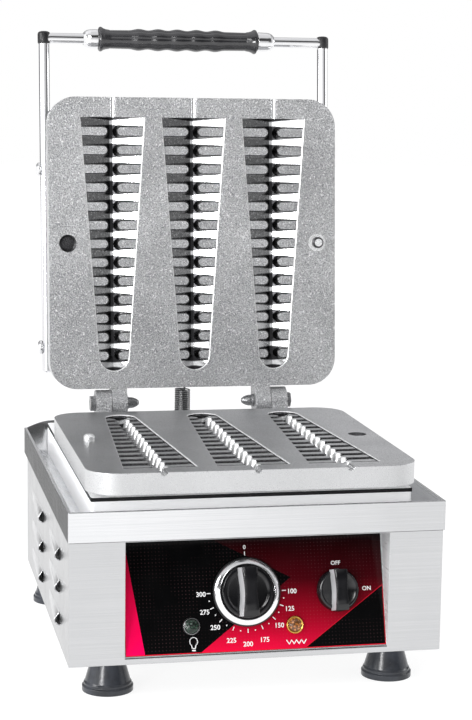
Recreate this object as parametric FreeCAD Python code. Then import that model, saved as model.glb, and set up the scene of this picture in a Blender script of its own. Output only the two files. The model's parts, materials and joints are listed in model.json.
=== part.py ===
import FreeCAD, Part
import math
import os

os.makedirs("parts", exist_ok=True)
V = FreeCAD.Vector

# Driving dimensions of the waffle iron, mm.  X left to right, Y front to rear, Z up.
# Built with Y = 0 on the front of the tray; every piece is moved by ROW_Y on export.
ROW_Y = 186.8

# sheet metal box
BODY_HW, BODY_Y0, BODY_Y1 = 154.1, 2.0, 342.6
BODY_Z0, BODY_Z1, SHEET = 29.8, 131.7, 1.2
OPEN_HW = 109.0            # half width of the control opening between the front pillars
LIP_Z = 34.5               # top of the lip under the control panel

# control panel plane: point on its lower edge, leaning back going up
PAN_Y, PAN_Z, PAN_TILT = 3.0, 37.0, 17.1
PAN_S0, PAN_S1 = -2.0, 97.0

# tray
TRAY_HW, TRAY_D, TRAY_Z0, TRAY_Z1, TRAY_T = 155.0, 363.4, 131.7, 156.1, 1.5
TRAY_FLOOR = 134.9

# plinth under the lower mould
PL_HW, PL_Y0, PL_Y1, PL_Z1, PL_T = 133.6, 25.0, 353.5, 162.1, 1.5

# mould plates (both share the outline)
MP_HW, MP_Y0, MP_D, MP_T, MP_R = 137.4, 9.8, 272.6, 18.0, 26.0
PARTING, FACE_GAP = 184.6, 0.3
CAV_X, CAV_E, CAV_L, CAV_W1, CAV_W2 = 76.9, 18.6, 237.2, 30.0, 13.9
# valley section: depth beside the rim, along the centre (wide end, narrow end), half floor
VALLEY_EDGE, VALLEY_D1, VALLEY_D2, VALLEY_HW, RIM = 2.6, 12.0, 10.8, 1.4, 0.8
TOOTH_N, TOOTH_V0, TOOTH_PITCH, TOOTH_W, TOOTH_DROP = 13, 13.1, 17.5, 9.4, 1.6
# growth of a tooth towards its root: across it, and at its inner end
TOOTH_DRAFT, TOOTH_NOSE = 2.0, 3.4
SPINE_HW, STICK_R = 4.2, 3.0
DOWEL_X, DOWEL_V = 119.6, 136.1

# hinge
AX_Y, AX_Z, OPEN_DEG = 296.5, 190.4, 95.0
KNUCKLE_R, BOLT_R, EAR_GAP = 12.6, 4.0, 0.6
# (left face, right face) of the outer base lugs and the inner lid lugs
BASE_LUGS = ((-94.5, -80.2), (73.6, 88.8))
LID_LUGS = ((-79.7, -65.2), (58.2, 73.1))

# lid cover and handle (n is the height above the parting face with the lid shut)
COV_HW, COV_V0, COV_V1, COV_N1, COV_T = 130.6, 9.0, 258.0, 62.0, 1.2
ARM_X, ARM_N, ROD_R, BEND_R = 135.7, 42.0, 5.0, 6.0
BAR_V, ARM_END_V = -57.7, 259.0
ARM_BOLT_V = (66.0, 235.0)
GRIP_X0, GRIP_X1 = -84.0, 69.6
FERR_X0, FERR_X1 = -98.4, 86.5

# heaters
HEAT_R, HEAT_IN, HEAT_OUT, HEAT_Y0, HEAT_YR, HEAT_YF = 4.0, 20.0, 96.0, 50.0, 220.0, 80.0

# controls: (x, distance up the panel)
THERMO, SWITCH = (-7.3, 46.6), (69.0, 45.0)
GREEN, AMBER = (-53.9, 21.0), (31.8, 18.4)

# counter spring
SPR_X, SPR_Y, SPR_Z0 = -6.0, 325.0, 146.0
SPR_TOP_Y, SPR_TOP_Z = 325.0, 206.0
SPR_R, SPR_WIRE, SPR_TURNS = 7.0, 0.75, 27

FEET = (("front_left", -118.3, 34.3), ("front_right", 118.3, 34.3),
        ("rear_left", -131.4, 302.3), ("rear_right", 131.4, 302.3))


def box(x0, x1, y0, y1, z0, z1):
    return Part.makeBox(x1 - x0, y1 - y0, z1 - z0, V(x0, y0, z0))


def cyl(r, p, d, h):
    return Part.makeCylinder(r, h, V(*p), V(*d))


def cone(r0, r1, p, d, h):
    return Part.makeCone(r0, r1, h, V(*p), V(*d))


def join(shapes):
    return shapes[0].multiFuse(shapes[1:]).removeSplitter()


def prism(points, d):
    wire = Part.makePolygon([V(*p) for p in points] + [V(*points[0])])
    return Part.Face(wire).extrude(V(*d))


def revolve(profile, p, d):
    # profile holds (radius, height) pairs along the axis d through p
    ax = V(*d)
    side = ax.cross(V(1, 0, 0)) if abs(ax.x) < 0.9 else ax.cross(V(0, 1, 0))
    side.normalize()
    pts = [V(*p) + side * r + ax * h for r, h in profile]
    return Part.Face(Part.makePolygon(pts + [pts[0]])).revolve(V(*p), ax, 360)


def loft(rings):
    s = Part.makeLoft(rings, True, True)
    return s if s.Volume > 0 else s.reversed()


def rounded(hw, y0, y1, z0, z1, r):
    b = box(-hw, hw, y0, y1, z0, z1)
    edges = [e for e in b.Edges if abs(e.tangentAt(e.FirstParameter).z) > 0.9]
    return b.makeFillet(r, edges)


# ---- panel frame -------------------------------------------------------------
TS, TC = math.sin(math.radians(PAN_TILT)), math.cos(math.radians(PAN_TILT))
PN = (0.0, -TC, TS)


def on_panel(x, s, n=0.0):
    return (x, PAN_Y + s * TS - n * TC, PAN_Z + s * TC + n * TS)


def panel_box(x0, x1, s0, s1, n0, n1):
    pts = [on_panel(x0, s, n) for s, n in ((s0, n0), (s1, n0), (s1, n1), (s0, n1))]
    return prism(pts, (x1 - x0, 0, 0))


def panel_cyl(at, r, n0, n1):
    return cyl(r, on_panel(at[0], at[1], n0), PN, n1 - n0)


def panel_revolve(at, profile):
    return revolve(profile, on_panel(at[0], at[1]), PN)


def lift_lid(shape):
    s = shape.copy()
    s.rotate(V(0, AX_Y, AX_Z), V(1, 0, 0), -OPEN_DEG)
    return s


# ---- body --------------------------------------------------------------------
def louvre_rows():
    for y0, y1 in ((67.0, 142.0), (199.0, 290.0)):
        for z in (106.0, 78.5, 51.0):
            yield y0, y1, z


def louvre(side, y0, y1, z, skin):
    # pressed half cone: open at its front end, running out flush at the rear; skin is taken off
    # all round for the hollow under it
    rings = []
    for y, bulge in ((y0 - skin, 4.6), (y1 - 5.0 * skin, 0.4)):
        arc = []
        for i in range(11):
            t = i / 10.0
            out = (bulge - skin) * math.sin(math.pi * t ** 1.5) ** 0.8
            arc.append(V(side * (BODY_HW + out), y, z + 6.5 - skin - (12.5 - 2 * skin) * t))
        back = side * (BODY_HW - SHEET * (1.0 + skin))
        ring = [V(back, y, z + 6.5 - skin)] + arc + [V(back, y, z - 6.0 + skin)]
        rings.append(Part.makePolygon(ring + [ring[0]]))
    return loft(rings)


def body_shell():
    s = box(-BODY_HW, BODY_HW, BODY_Y0, BODY_Y1, BODY_Z0, BODY_Z1)
    cuts = [
        box(-BODY_HW + SHEET, BODY_HW - SHEET, BODY_Y0 + SHEET, BODY_Y1 + 1,
            BODY_Z0 + SHEET, BODY_Z1 - SHEET),
        box(-OPEN_HW, OPEN_HW, BODY_Y0 - 1, BODY_Y0 + SHEET + 1, LIP_Z, BODY_Z1 - SHEET),
        box(-138, 138, 38, 330, BODY_Z1 - SHEET - 1, BODY_Z1 + 1),
        box(-140, 140, 15, 330, BODY_Z0 - 1, BODY_Z0 + SHEET + 1)]
    adds = [s.cut(Part.makeCompound(cuts))]
    slots = []
    for side in (-1, 1):
        x = side * OPEN_HW
        adds.append(box(min(x, x + side * SHEET), max(x, x + side * SHEET),
                        BODY_Y0 + 0.2, 37, BODY_Z0 + 2 * SHEET, BODY_Z1 - 0.2))
        for y0, y1, z in louvre_rows():
            adds.append(louvre(side, y0, y1, z, 0.0))
            slots.append(louvre(side, y0, y1, z, 1.0))
    return join(adds).cut(Part.makeCompound(slots))


def bottom_plate():
    s = join([box(-140, 140, 15, 330, BODY_Z0, BODY_Z0 + SHEET),
              box(-147, 147, 9, 336, BODY_Z0 + SHEET, BODY_Z0 + 2 * SHEET)])
    holes = [cyl(2.6, (x, y, 20), (0, 0, 1), 20) for _, x, y in FEET]
    vents = [box(-60 + 24 * i, -48 + 24 * i, 120, 220, 20, 40) for i in range(5)]
    return s.cut(Part.makeCompound(holes + vents))


GLAND = (-96.0, 62.0)


def rear_panel():
    y0 = BODY_Y1 - SHEET
    s = box(-BODY_HW + SHEET, BODY_HW - SHEET, y0, BODY_Y1, BODY_Z0 + SHEET, BODY_Z1 - SHEET)
    cuts = [cyl(8.05, (GLAND[0], y0 - 1, GLAND[1]), (0, 1, 0), 4)]
    for i in range(6):
        cuts.append(box(-20 + 20 * i, -12 + 20 * i, y0 - 1, BODY_Y1 + 1, 70, 110))
    return s.cut(Part.makeCompound(cuts))


def control_panel():
    s = panel_box(-OPEN_HW, OPEN_HW, PAN_S0, PAN_S1, -1.6, -0.4)
    holes = [panel_cyl(THERMO, 5, -4, 2), panel_cyl(SWITCH, 5, -4, 2),
             panel_cyl(GREEN, 5, -4, 2), panel_cyl(AMBER, 5, -4, 2)]
    return s.cut(Part.makeCompound(holes))


def fascia_decal():
    s = panel_box(-108.4, 108.4, -1.0, 90.3, -0.4, 0.0)
    holes = [panel_cyl(THERMO, 6, -4, 2), panel_cyl(SWITCH, 6, -4, 2),
             panel_cyl(GREEN, 5, -4, 2), panel_cyl(AMBER, 5, -4, 2)]
    return s.cut(Part.makeCompound(holes))


# ---- controls ----------------------------------------------------------------
def control_body(at, w, h, d, shaft):
    x, s = at
    parts = [panel_box(x - w / 2, x + w / 2, s - h / 2, s + h / 2, -1.6 - d, -1.6),
             panel_cyl(at, 4.6, -2.0, 0.2), panel_cyl(at, 3.0, -3.0, shaft)]
    return join(parts)


def thermostat_bezel():
    return panel_revolve(THERMO, [(22.6, 0), (28.0, 0), (28.0, 1.5), (26.6, 3.6), (24.6, 4.4),
                                  (23.2, 3.6), (22.6, 2.6)])


def knob(at, skirt_r, skirt_n, cap_r, top_n, bar_hw, bar_n, shaft_n):
    # turned skirt and cap with a straight finger bar across the dial
    body = panel_revolve(at, [(0, 0.6), (skirt_r, 0.6), (skirt_r, skirt_n - 1.2),
                              (skirt_r - 1.2, skirt_n), (cap_r, skirt_n + 0.4),
                              (cap_r - 1.0, top_n), (0, top_n)])
    x, s = at
    bar = panel_box(x - bar_hw, x + bar_hw, s - skirt_r, s + skirt_r, skirt_n - 1, bar_n)
    bar = bar.common(panel_cyl(at, skirt_r - 0.6, 0, bar_n + 1))
    top = [e for e in bar.Edges if e.Length > skirt_r
           and abs(e.BoundBox.YLength - e.BoundBox.ZLength * TS / TC) < 0.5]
    body = join([body, bar.makeFillet(1.4, top) if top else bar])
    return body.cut(panel_cyl(at, 3.06, 0, shaft_n + 0.5))


def lamp_body(at, ring_r):
    ring = panel_revolve(at, [(5.0, 0), (ring_r, 0), (ring_r, 1.0), (ring_r - 0.9, 2.2), (5.6, 2.2),
                              (5.0, 1.6)])
    barrel = panel_revolve(at, [(4.2, -20), (4.95, -20), (4.95, 0.4), (5.2, 0.4), (5.2, 0.8),
                                (4.2, 0.8)])
    cap = panel_cyl(at, 4.95, -22, -20)
    nut = panel_revolve(at, [(4.9, -4.6), (7.5, -4.6), (7.5, -1.6), (4.9, -1.6)])
    return join([ring, barrel, cap, nut])


def lamp_lens(at):
    dome = [(5.0 * math.cos(a), 1.6 + 2.6 * math.sin(a)) for a in
            [math.radians(10 * i) for i in range(10)]]
    return panel_revolve(at, [(0, -12), (4.15, -12), (4.15, 0.8), (4.95, 0.8)] + dome[:-1] + [(0, 4.2)])


def terminal_block():
    base = box(40, 110, 240, 280, BODY_Z0 + 2 * SHEET, 46)
    slots = [box(44 + 16 * i, 54 + 16 * i, 236, 284, 38, 50) for i in range(4)]
    return base.cut(Part.makeCompound(slots))


def cable_gland():
    x, z = GLAND
    p = (x, BODY_Y1, z)
    s = revolve([(4.0, -12), (8.0, -12), (8.0, 0), (11.0, 0), (11.0, 6), (9.5, 8), (8.6, 20),
                 (6.5, 22), (4.0, 22)], p, (0, 1, 0))
    nut = revolve([(7.9, -6), (11.5, -6), (11.5, -1.2), (7.9, -1.2)], p, (0, 1, 0))
    return join([s, nut])


# ---- feet --------------------------------------------------------------------
def foot(x, y):
    s = revolve([(2.6, 6), (7.0, 6), (7.0, 0), (21, 0), (21, 4.2), (19.6, 5.4), (19.6, 7.0),
                 (18.6, 8.4), (13.6, 26), (13.6, BODY_Z0), (2.6, BODY_Z0)], (x, y, 0), (0, 0, 1))
    return s


def foot_screw(x, y):
    return revolve([(0, 1.5), (5.0, 1.5), (5.0, 6), (2.5, 6), (2.5, 32.2), (4.6, 32.2), (4.6, 36),
                    (2.5, 36), (2.5, 39), (0, 39)], (x, y, 0), (0, 0, 1))


# ---- tray and plinth ---------------------------------------------------------
def tray_back():
    # leaning rear wall whose top edge arches up from both corners
    hw, lean = TRAY_HW - TRAY_T, math.atan2(TRAY_D - 356.0, TRAY_Z1 - TRAY_FLOOR)
    rise = 1.0 / math.cos(lean)
    top = []
    for i in range(13):
        t = i / 12.0
        top.append((-hw + 26.0 * t, (TRAY_Z1 - TRAY_FLOOR + 6.6 * math.sin(t * math.pi / 2)) * rise))
    prof = [(-hw, -1.0)] + top + [(-x, z) for x, z in top[::-1]] + [(hw, -1.0)]
    s = prism([(x, 0, z) for x, z in prof], (0, TRAY_T, 0))
    s.rotate(V(0, 0, 0), V(1, 0, 0), -math.degrees(lean))
    s.translate(V(0, 354.8, TRAY_FLOOR))
    return s


def overflow_tray():
    s = box(-TRAY_HW, TRAY_HW, 0, TRAY_D, TRAY_Z0, TRAY_Z1)
    i = TRAY_HW - TRAY_T
    s = s.cut(Part.makeCompound([
        box(-i, i, TRAY_T, TRAY_D + 1, TRAY_FLOOR, TRAY_Z1 + 1),
        box(-147, 147, 8, 350, TRAY_Z0 - 1, TRAY_FLOOR - TRAY_T),
        box(-118, 118, 45, 318, TRAY_Z0 - 1, TRAY_FLOOR + 1),
        box(-16, 4, 312, 338, TRAY_Z0 - 1, TRAY_FLOOR + 1),
        box(-i, i, 356.3, TRAY_D + 1, TRAY_Z0 - 1, TRAY_FLOOR + 1)]))
    hem = box(-TRAY_HW, TRAY_HW, 0, TRAY_D, TRAY_Z1 - 2.4, TRAY_Z1)
    j = TRAY_HW - 2.6
    hem = hem.cut(box(-j, j, 2.6, TRAY_D + 1, 100, 200))
    return join([s, hem, tray_back()])


def plinth_box():
    s = box(-PL_HW, PL_HW, PL_Y0, PL_Y1, TRAY_FLOOR, PL_Z1)
    e = [k for k in s.Edges if abs(k.tangentAt(k.FirstParameter).z) > 0.9]
    s = s.makeFillet(3.0, e)
    i = PL_HW - PL_T
    return s.cut(Part.makeCompound([
        box(-i, i, PL_Y0 + PL_T, PL_Y1 - PL_T, TRAY_FLOOR - 1, PL_Z1 - PL_T),
        box(-122, 122, 38, 270, PL_Z1 - 3, PL_Z1 + 1),
        box(SPR_X - 10, SPR_X + 10, 296, 340, PL_Z1 - 3, PL_Z1 + 1)]))


# ---- mould plates (built with the lid shut, v measured from the free edge) -----
def tooth(side, y, face, sign):
    # bar from the cavity's outer wall to the spine: chamfered top, drafted flanks, round nose
    half = TOOTH_W / 2
    rings = []
    for depth, h, x in ((TOOTH_DROP, half - 0.8, SPINE_HW + 0.8), (TOOTH_DROP + 0.8, half, SPINE_HW),
                        (14.0, half + TOOTH_DRAFT, SPINE_HW - TOOTH_NOSE)):
        z = face + sign * depth
        a, b = V(side * 33, y - h, z), V(side * (x + h), y - h, z)
        c, d = V(side * (x + h), y + h, z), V(side * 33, y + h, z)
        rings.append(Part.Wire([Part.makeLine(a, b), Part.Arc(b, V(side * x, y, z), c).toShape(),
                                Part.makeLine(c, d), Part.makeLine(d, a)]))
    return loft(rings)


def cavity_cutter(x, face, sign):
    # sign +1 cuts upward into the upper plate, -1 downward into the lower plate
    y0, y1 = MP_Y0 + CAV_E, MP_Y0 + CAV_E + CAV_L - CAV_W2
    sections = []
    for y, w, d in ((y0, CAV_W1, VALLEY_D1), (y1, CAV_W2, VALLEY_D2)):
        half = [(w + RIM + 0.05, -0.05), (w, RIM), (w, VALLEY_EDGE), (VALLEY_HW, d)]
        pts = half + [(-px, pz) for px, pz in half[::-1]]
        ring = [V(px, y, face + sign * pz) for px, pz in pts]
        sections.append(Part.makePolygon(ring + [ring[0]]))
    end = revolve([(0, -0.05), (CAV_W2 + RIM + 0.05, -0.05), (CAV_W2, RIM), (CAV_W2, VALLEY_EDGE),
                   (VALLEY_HW, VALLEY_D2), (0, VALLEY_D2)], (0, y1, face), (0, 0, sign))
    pocket = loft(sections).fuse(end)
    teeth = [tooth(side, y0 + TOOTH_V0 + TOOTH_PITCH * i, face, sign)
             for i in range(TOOTH_N) for side in (-1, 1)]
    cutter = pocket.cut(Part.makeCompound(teeth))
    stick = cyl(STICK_R, (0, MP_Y0 - 5, face), (0, 1, 0), CAV_E + 8)
    cutter = cutter.fuse(stick)
    cutter.translate(V(x, 0, 0))
    return cutter


def hinge_ear(lower, index):
    # cast ear behind the plate's rear edge: round knuckle on the axis, foot against the plate
    x0, x1 = (BASE_LUGS if lower else LID_LUGS)[index]
    z_lo, z_hi = (PARTING - MP_T + 1, PARTING) if lower else (n_z(0), n_z(MP_T) - 1)
    y = MP_Y0 + MP_D
    disc = cyl(KNUCKLE_R, (x0, AX_Y, AX_Z), (1, 0, 0), x1 - x0)
    arm = prism([(x0, y - 2, z_lo), (x0, AX_Y, AX_Z - KNUCKLE_R + 0.02),
                 (x0, AX_Y, AX_Z + KNUCKLE_R - 0.02), (x0, y - 2, z_hi)], (x1 - x0, 0, 0))
    ear = join([disc, arm]).cut(box(x0 - 1, x1 + 1, y - 20, y, 100, 300))
    # beyond the parting plane the ear stands clear of the other plate's edge
    z_far = (PARTING, 300) if lower else (100, n_z(0))
    ear = ear.cut(box(x0 - 1, x1 + 1, y - 20, y + EAR_GAP, *z_far))
    return ear.cut(cyl(BOLT_R + (0.05 if lower else 0.08), (x0 - 1, AX_Y, AX_Z), (1, 0, 0), x1 - x0 + 2))


def mould_plate(lower):
    face = PARTING if lower else PARTING + FACE_GAP
    sign = -1 if lower else 1
    z0, z1 = sorted((face, face + sign * MP_T))
    s = rounded(MP_HW, MP_Y0, MP_Y0 + MP_D, z0, z1, MP_R)
    cuts = [cavity_cutter(k * CAV_X, face, sign) for k in (-1, 0, 1)]
    y = MP_Y0 + DOWEL_V
    own, mate = (-1, 1) if lower else (1, -1)
    cuts.append(cyl(5.0, (own * DOWEL_X, y, face - sign), (0, 0, sign), 11))
    cuts.append(cyl(6.0, (mate * DOWEL_X, y, face - sign), (0, 0, sign), 11))
    cuts.append(cone(8.2, 5.9, (mate * DOWEL_X, y, face), (0, 0, sign), 2.3))
    if not lower:
        cuts.append(cyl(8.6, (own * DOWEL_X, y, face - 1), (0, 0, 1), 1.8))
        cuts.append(cyl(2.05, (SPR_X, SPRING_TOP[1], z1 - 8), (0, 0, 1), 9))
    far = face + sign * MP_T
    cuts += [cyl(2.55, (k * 46.0, 210, far), (0, 0, -sign), 9) for k in (-1, 1)]
    s = s.cut(Part.makeCompound(cuts))
    if lower:
        pads = [cyl(6, (a * 125.0, b, PL_Z1), (0, 0, 1), MP_LOW - PL_Z1 + 0.2)
                for a in (-1, 1) for b in (60.0, 240.0)]
        s = join([s] + pads)
    return s


def dowel(lower):
    face = PARTING if lower else PARTING + FACE_GAP
    sign = -1 if lower else 1
    x, y = (-DOWEL_X if lower else DOWEL_X), MP_Y0 + DOWEL_V
    out = -sign
    stem = cyl(5.0, (x, y, face + sign * 10), (0, 0, out), 10.2 if lower else 10.8)
    if lower:
        tip = [cyl(5.0, (x, y, face), (0, 0, out), 4.0),
               cone(5.0, 3.2, (x, y, face + out * 4.0), (0, 0, out), 1.8)]
    else:
        tip = [cyl(8.5, (x, y, face + 0.8), (0, 0, out), 0.8),
               cyl(5.2, (x, y, face), (0, 0, out), 5.0),
               cone(5.2, 3.6, (x, y, face + out * 5.0), (0, 0, out), 1.8)]
    return join([stem] + tip)


# ---- heaters -----------------------------------------------------------------
def heater(z, out):
    c = (HEAT_IN + HEAT_OUT) / 2
    rr = (HEAT_OUT - HEAT_IN) / 2
    parts = []
    for k in (-1, 1):
        parts.append(cyl(HEAT_R, (k * HEAT_OUT, HEAT_Y0, z), (0, 1, 0), HEAT_YR - HEAT_Y0))
        parts.append(cyl(HEAT_R, (k * HEAT_IN, HEAT_YF, z), (0, 1, 0), HEAT_YR - HEAT_YF))
        bend = Part.makeTorus(rr, HEAT_R, V(k * c, HEAT_YR, z), V(0, 0, 1), -180, 180, 180)
        parts.append(bend)
        parts.append(Part.makeSphere(HEAT_R, V(k * HEAT_OUT, HEAT_Y0, z)))
        parts.append(cyl(HEAT_R, (k * HEAT_OUT, HEAT_Y0, z), (0, 0, out), 16))
        parts.append(cyl(2.0, (k * HEAT_OUT, HEAT_Y0, z + out * 15), (0, 0, out), 10))
    front = Part.makeTorus(HEAT_IN, HEAT_R, V(0, HEAT_YF, z), V(0, 0, 1), -180, 180, 180)
    front.rotate(V(0, HEAT_YF, z), V(0, 0, 1), 180)
    return join(parts + [front])


def clamp_plate(z0):
    s = box(-112, 112, 44, 266, z0, z0 + 2)
    holes = [cyl(5.2, (k * HEAT_OUT, HEAT_Y0, z0 - 2), (0, 0, 1), 8) for k in (-1, 1)]
    holes += [cyl(2.7, (k * 46.0, 210, z0 - 2), (0, 0, 1), 8) for k in (-1, 1)]
    return s.cut(Part.makeCompound(holes))


def clamp_bolt(x, z_plate, out):
    # hexagon bolt from the back of the clamp into the casting
    r = 5.0
    hexa = [(x + r * math.cos(math.radians(60 * i)), 210 + r * math.sin(math.radians(60 * i)), z_plate)
            for i in range(6)]
    return join([prism(hexa, (0, 0, 4 * out)), cyl(2.5, (x, 210, z_plate + 2 * out), (0, 0, -out), 20)])


def insulation(z0, z1, hw, y0, y1):
    s = box(-hw, hw, y0, y1, z0, z1)
    holes = [cyl(5.4, (k * HEAT_OUT, HEAT_Y0, z0 - 2), (0, 0, 1), z1 - z0 + 4) for k in (-1, 1)]
    holes += [cyl(6.4, (k * 46.0, 210, z0 - 2), (0, 0, 1), z1 - z0 + 4) for k in (-1, 1)]
    return s.cut(Part.makeCompound(holes))


# ---- hinge bolts, spring -------------------------------------------------------
def hinge_bolt(left):
    a, b = (BASE_LUGS[0][0], LID_LUGS[0][1]) if left else (LID_LUGS[1][0], BASE_LUGS[1][1])
    p, d = ((a, AX_Y, AX_Z), (1, 0, 0)) if left else ((b, AX_Y, AX_Z), (-1, 0, 0))
    span = b - a
    r = 7.5
    hexa = [(p[0], AX_Y + r * math.cos(math.radians(60 * i)), AX_Z + r * math.sin(math.radians(60 * i)))
            for i in range(6)]
    return join([prism(hexa, (-5.0 * d[0], 0, 0)), cyl(BOLT_R, (p[0] - 2 * d[0], AX_Y, AX_Z), d, span + 6.3)])


def hinge_nut(left):
    a = LID_LUGS[0][1] + 0.3 if left else LID_LUGS[1][0] - 0.3
    d = (1, 0, 0) if left else (-1, 0, 0)
    prof = [(BOLT_R, 0), (6.0, 0), (6.0, 1.6), (5.2, 2.2), (5.2, 4.6), (4.7, 7.0), (3.6, 9.6),
            (2.0, 11.6), (0, 12.2), (0, 4.4), (BOLT_R, 4.4)]
    return revolve(prof, (a, AX_Y, AX_Z), d)


def shut(y, z):
    # where a point of the raised lid sits with the lid shut
    c, s = math.cos(math.radians(OPEN_DEG)), math.sin(math.radians(OPEN_DEG))
    dy, dz = y - AX_Y, z - AX_Z
    return (SPR_X, AX_Y + dy * c - dz * s, AX_Z + dy * s + dz * c)


SPRING_TOP = shut(SPR_TOP_Y, SPR_TOP_Z)


def counter_spring():
    # close wound extension spring with a short straight tail at each end
    z0, z1 = SPR_Z0 + 9.0, SPR_TOP_Z - 9.0
    pitch = (z1 - z0) / SPR_TURNS
    helix = Part.makeHelix(pitch, z1 - z0, SPR_R)
    helix.translate(V(SPR_X, SPR_Y, z0))
    circ = Part.Wire([Part.makeCircle(SPR_WIRE, V(SPR_X + SPR_R, SPR_Y, z0), V(0, 1, 0))])
    coil = Part.Wire(helix.Edges).makePipeShell([circ], True, True)
    tails = []
    for z, up in ((z0, -1), (z1, 1)):
        tails.append(cyl(SPR_WIRE, (SPR_X, SPR_Y, z - 0.3 * up), (0, 0, up), 3.1))
        tails.append(cyl(SPR_WIRE, (SPR_X, SPR_Y, z), (1, 0, 0), SPR_R))
    return join([coil] + tails)


def spring_eye_lower():
    strap = box(SPR_X - 8, SPR_X + 8, PL_Y1 - PL_T - 30, PL_Y1 - PL_T, 138, 139.8)
    stem = cyl(1.6, (SPR_X, SPR_Y, 139), (0, 0, 1), 3.0)
    ring = Part.makeTorus(4.0, 1.4, V(SPR_X, SPR_Y, 146.4), V(0, 1, 0))
    wall = box(SPR_X - 8, SPR_X + 8, PL_Y1 - PL_T - 1.8, PL_Y1 - PL_T, 138, 156)
    return join([strap, wall, stem, ring])


def spring_eye_upper():
    x, y, z = SPRING_TOP
    top = PARTING + FACE_GAP + MP_T
    ring = Part.makeTorus(4.0, 1.4, V(x, y, z), V(1, 0, 0))
    stem = cyl(2.0, (x, y, top - 7), (0, 0, 1), z - 5.0 - top + 7)
    return join([ring, stem])


# ---- lid cover and handle ------------------------------------------------------
def n_z(n):
    return PARTING + FACE_GAP + n


def v_y(v):
    return MP_Y0 + v


def upper_cover():
    z0, z1 = n_z(MP_T), n_z(COV_N1)
    s = box(-COV_HW, COV_HW, v_y(COV_V0), v_y(COV_V1), z0, z1)
    up = [e for e in s.Edges if abs(e.tangentAt(e.FirstParameter).z) > 0.9]
    s = s.makeFillet(20.0, up)
    rim = [e for e in s.Edges if e.BoundBox.ZMin > z1 - 0.01]
    s = s.makeFillet(3.0, rim)
    i = COV_T
    inner = rounded(COV_HW - i, v_y(COV_V0) + i, v_y(COV_V1) - i, z0 - 1, z1 - i, 19.0)
    cuts = [inner]
    for v in ARM_BOLT_V:
        cuts.append(cyl(3.05, (-150, v_y(v), n_z(ARM_N)), (1, 0, 0), 300))
    return s.cut(Part.makeCompound(cuts))


def handle_rod():
    z, yb, ye = n_z(ARM_N), v_y(BAR_V), v_y(ARM_END_V)
    parts = []
    for k in (-1, 1):
        parts.append(cyl(ROD_R, (k * ARM_X, yb + BEND_R, z), (0, 1, 0), ye - yb - BEND_R - 1.5))
        parts.append(cone(ROD_R, ROD_R - 1.5, (k * ARM_X, ye - 1.5, z), (0, 1, 0), 1.5))
        bend = Part.makeTorus(BEND_R, ROD_R, V(0, 0, 0), V(0, 0, 1), -180, 180, 90)
        bend.rotate(V(0, 0, 0), V(0, 0, 1), 180 if k < 0 else 270)
        bend.translate(V(k * (ARM_X - BEND_R), yb + BEND_R, z))
        parts.append(bend)
    parts.append(cyl(ROD_R, (-ARM_X + BEND_R, yb, z), (1, 0, 0), 2 * (ARM_X - BEND_R)))
    rod = join(parts)
    holes = [cyl(3.05, (-150, v_y(v), z), (1, 0, 0), 300) for v in ARM_BOLT_V]
    return rod.cut(Part.makeCompound(holes))


def arm_bolt(side, v):
    x = side * (ARM_X + ROD_R)
    p = (x, v_y(v), n_z(ARM_N))
    return revolve([(0, 3.6), (4.5, 3.6), (6.5, 1.8), (6.5, 0), (3.0, 0), (3.0, -11.3), (5.5, -11.3),
                    (5.5, -15.3), (0, -15.3)], p, (side, 0, 0))


def ferrule(x0, x1, grip_right):
    # chrome end cap, wide end against the grip
    d = 1 if grip_right else -1
    start = x0 if grip_right else x1
    n = x1 - x0
    prof = [(ROD_R, 0), (5.8, 0), (7.4, 1.6), (8.5, 3.8), (9.0, 6.4), (9.3, n - 3.0), (9.1, n - 1.0),
            (8.4, n), (ROD_R, n)]
    return revolve(prof, (start, v_y(BAR_V), n_z(ARM_N)), (d, 0, 0))


def handle_grip():
    n = GRIP_X1 - GRIP_X0
    prof = [(ROD_R, 0), (9.8, 0), (11.6, 1.2), (11.7, 2.4), (10.2, 5.0), (9.2, 9.0)]
    steps = 60
    for i in range(1, steps):
        t = i / float(steps)
        x = 9.0 + (n - 18.0) * t
        wave = 0.5 - 0.5 * math.cos(2 * math.pi * (t * (n - 18.0)) / ((n - 18.0) / 6.0))
        prof.append((9.1 + 0.9 * math.sin(math.pi * t) + 0.75 * wave, x))
    prof += [(9.2, n - 9.0), (10.2, n - 5.0), (11.7, n - 2.4), (11.6, n - 1.2), (9.8, n), (ROD_R, n)]
    return revolve(prof, (GRIP_X0, v_y(BAR_V), n_z(ARM_N)), (1, 0, 0))


MP_LOW = PARTING - MP_T
HEAT_LOW = MP_LOW - HEAT_R
HEAT_UP = n_z(MP_T) + HEAT_R
CLAMP_LOW = HEAT_LOW - HEAT_R - 2.0
CLAMP_UP = HEAT_UP + HEAT_R


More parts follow.
